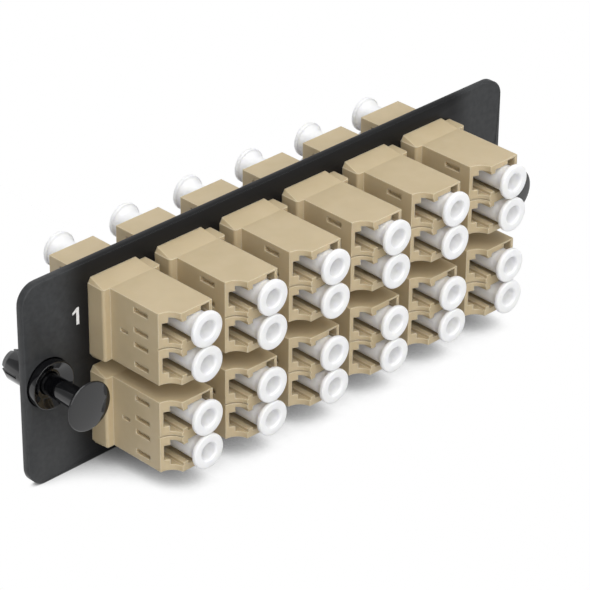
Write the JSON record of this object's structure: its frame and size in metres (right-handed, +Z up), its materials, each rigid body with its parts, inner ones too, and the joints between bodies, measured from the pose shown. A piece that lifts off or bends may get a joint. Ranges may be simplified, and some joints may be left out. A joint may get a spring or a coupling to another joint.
{
  "type": "fibre adapter panel",
  "caption": "Fibre adapter panel: a black mounting plate with rows of beige duplex adapters, white dust caps in every port and a push-pull plunger at each end.",
  "frame": {"origin": "centre of the plate's rear face, which seats on the frame that the panel is fixed to", "axes": "+X along the plate, +Y behind the plate, +Z up; the ports on show face -Y"},
  "size_m": [0.109, 0.0358, 0.0366],
  "materials": {
    "plate_paint": "satin black powder coat on steel",
    "adapter_plastic": "moulded beige plastic, lightly satin",
    "cap_plastic": "soft white translucent plastic",
    "fastener_plastic": "moulded black nylon, glossy",
    "sleeve_ceramic": "ground white ceramic",
    "clip_steel": "stamped spring steel"
  },
  "bodies": {
    "panel": {"mounting_plate": "plate_paint", "adapter_01_front_shell": "adapter_plastic", "adapter_01_rear_shell": "adapter_plastic", "adapter_01_dust_caps": "cap_plastic", "adapter_02_front_shell": "adapter_plastic", "adapter_02_rear_shell": "adapter_plastic", "adapter_02_dust_caps": "cap_plastic", "adapter_03_front_shell": "adapter_plastic", "adapter_03_rear_shell": "adapter_plastic", "adapter_03_dust_caps": "cap_plastic", "adapter_04_front_shell": "adapter_plastic", "adapter_04_rear_shell": "adapter_plastic", "adapter_04_dust_caps": "cap_plastic", "adapter_05_front_shell": "adapter_plastic", "adapter_05_rear_shell": "adapter_plastic", "adapter_05_dust_caps": "cap_plastic", "adapter_06_front_shell": "adapter_plastic", "adapter_06_rear_shell": "adapter_plastic", "adapter_06_dust_caps": "cap_plastic", "adapter_07_front_shell": "adapter_plastic", "adapter_07_rear_shell": "adapter_plastic", "adapter_07_dust_caps": "cap_plastic", "adapter_08_front_shell": "adapter_plastic", "adapter_08_rear_shell": "adapter_plastic", "adapter_08_dust_caps": "cap_plastic", "adapter_09_front_shell": "adapter_plastic", "adapter_09_rear_shell": "adapter_plastic", "adapter_09_dust_caps": "cap_plastic", "adapter_10_front_shell": "adapter_plastic", "adapter_10_rear_shell": "adapter_plastic", "adapter_10_dust_caps": "cap_plastic", "adapter_11_front_shell": "adapter_plastic", "adapter_11_rear_shell": "adapter_plastic", "adapter_11_dust_caps": "cap_plastic", "adapter_12_front_shell": "adapter_plastic", "adapter_12_rear_shell": "adapter_plastic", "adapter_12_dust_caps": "cap_plastic", "column_1_split_sleeves": "sleeve_ceramic", "column_1_retaining_clips": "clip_steel", "column_2_split_sleeves": "sleeve_ceramic", "column_2_retaining_clips": "clip_steel", "column_3_split_sleeves": "sleeve_ceramic", "column_3_retaining_clips": "clip_steel", "column_4_split_sleeves": "sleeve_ceramic", "column_4_retaining_clips": "clip_steel", "column_5_split_sleeves": "sleeve_ceramic", "column_5_retaining_clips": "clip_steel", "column_6_split_sleeves": "sleeve_ceramic", "column_6_retaining_clips": "clip_steel", "left_grommet": "fastener_plastic", "right_grommet": "fastener_plastic"},
    "left_plunger": {"left_plunger": "fastener_plastic"},
    "right_plunger": {"right_plunger": "fastener_plastic"}
  },
  "joints": [
    {"name": "left_plunger_press", "type": "slide", "parent": "panel", "child": "left_plunger", "axis": [0, 1, 0], "range_m": [0, 0.0076]},
    {"name": "right_plunger_press", "type": "slide", "parent": "panel", "child": "right_plunger", "axis": [0, 1, 0], "range_m": [-0.0019, 0.0057]}
  ]
}
